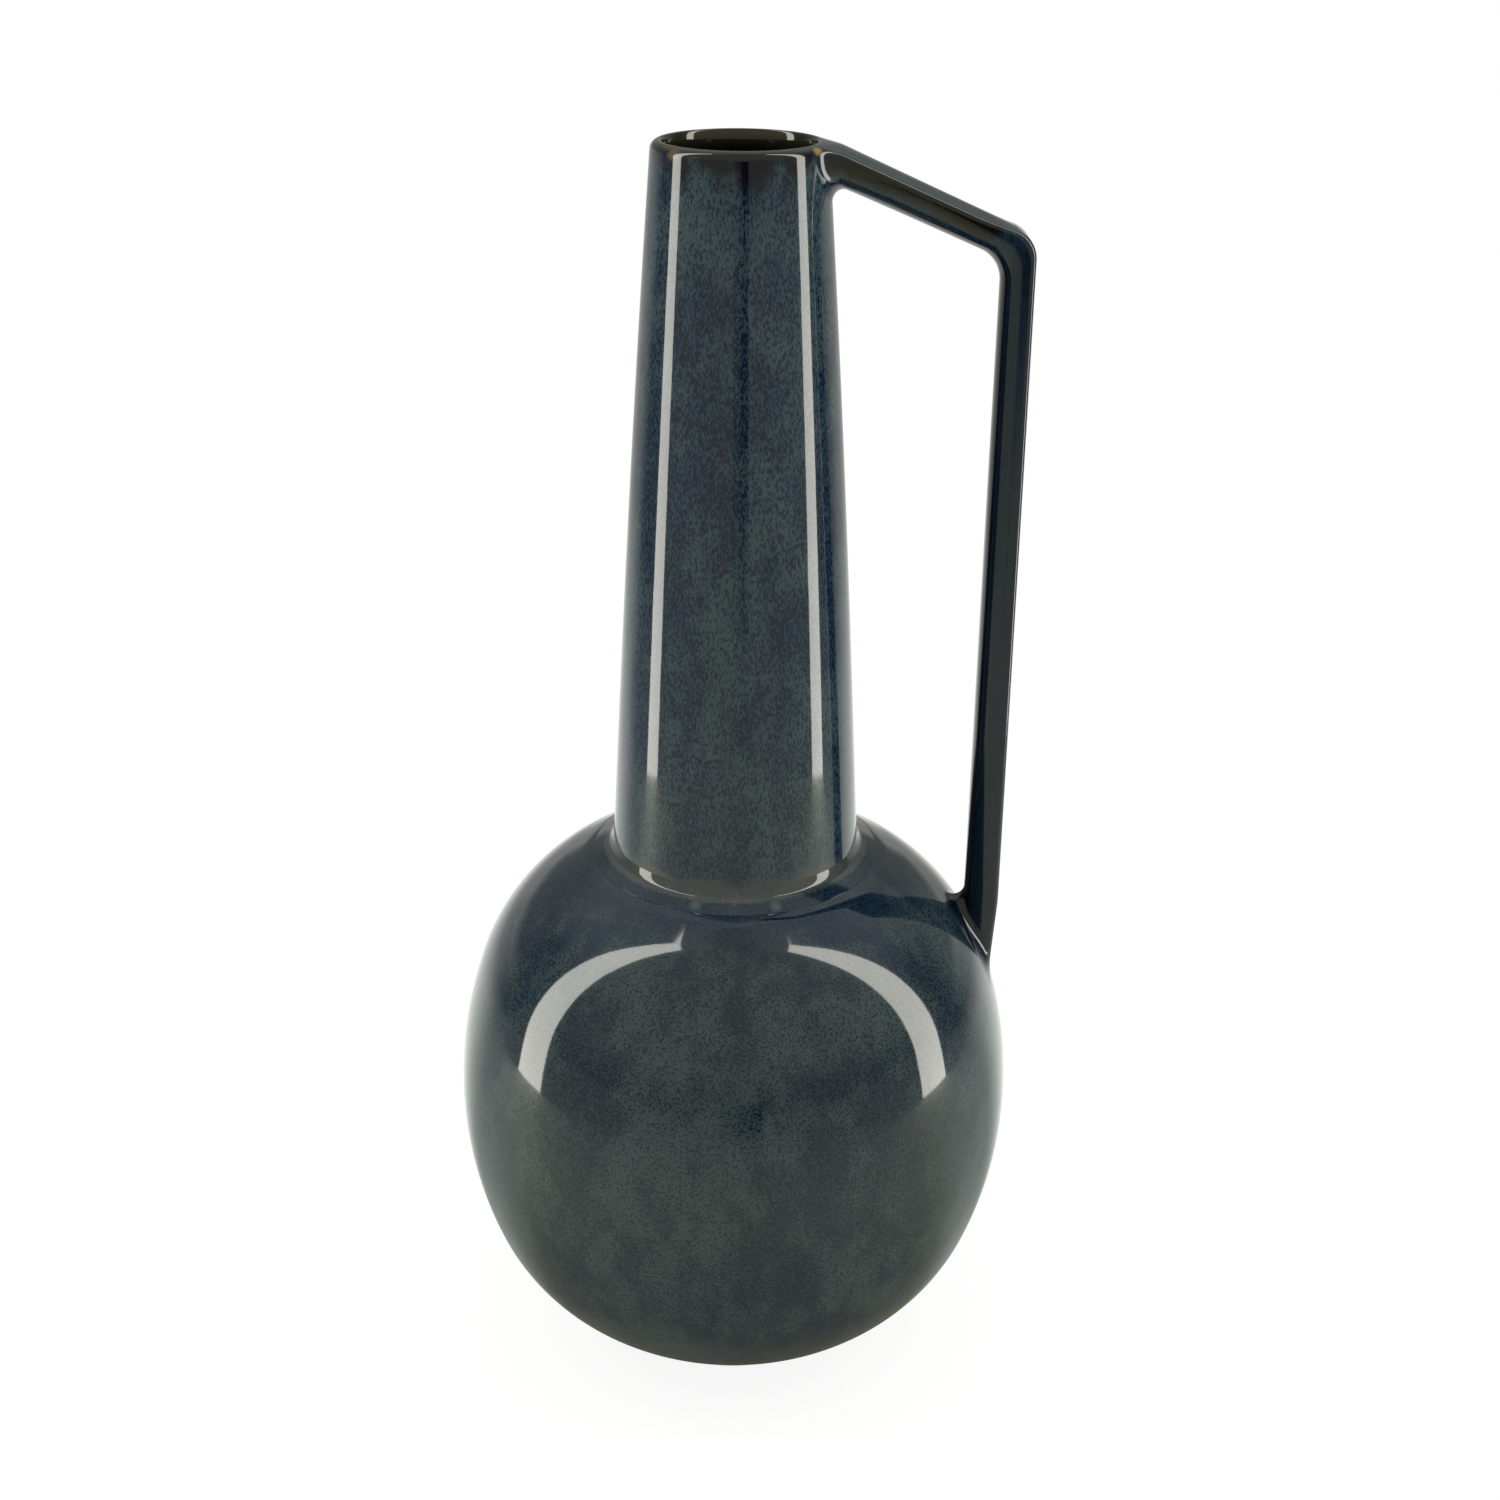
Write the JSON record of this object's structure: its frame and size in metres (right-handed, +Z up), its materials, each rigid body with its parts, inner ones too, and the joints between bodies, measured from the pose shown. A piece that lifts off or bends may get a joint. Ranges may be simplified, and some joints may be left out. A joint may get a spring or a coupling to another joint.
{
  "type": "bottle vase",
  "caption": "Tall stoneware bottle vase with a round body, a long tapering open neck and one angular handle from the rim to the shoulder, for stems or display.",
  "frame": {"origin": "centre of the foot ring's underside, on the neck's axis", "axes": "+Z up along the neck's axis, +X towards the handle"},
  "size_m": [0.2124, 0.2124, 0.4641],
  "materials": {
    "glaze_body": "gloss reactive glaze, dark blue speckle over grey-green",
    "glaze_neck": "gloss reactive glaze, dark blue streaks over grey-green",
    "glaze_handle": "gloss glaze, near black navy, brown where it thins on edges",
    "glaze_break": "gloss glaze, thinned to grey-brown",
    "bare_clay": "unglazed fired clay, matt and slightly rough"
  },
  "bodies": {
    "root": {"globe_body": "glaze_body", "neck": "glaze_neck", "handle": "glaze_handle", "foot_ring": "bare_clay", "neck_seam_fillet": "glaze_break", "handle_upper_fillet": "glaze_handle", "handle_lower_fillet": "glaze_handle"}
  },
  "joints": []
}
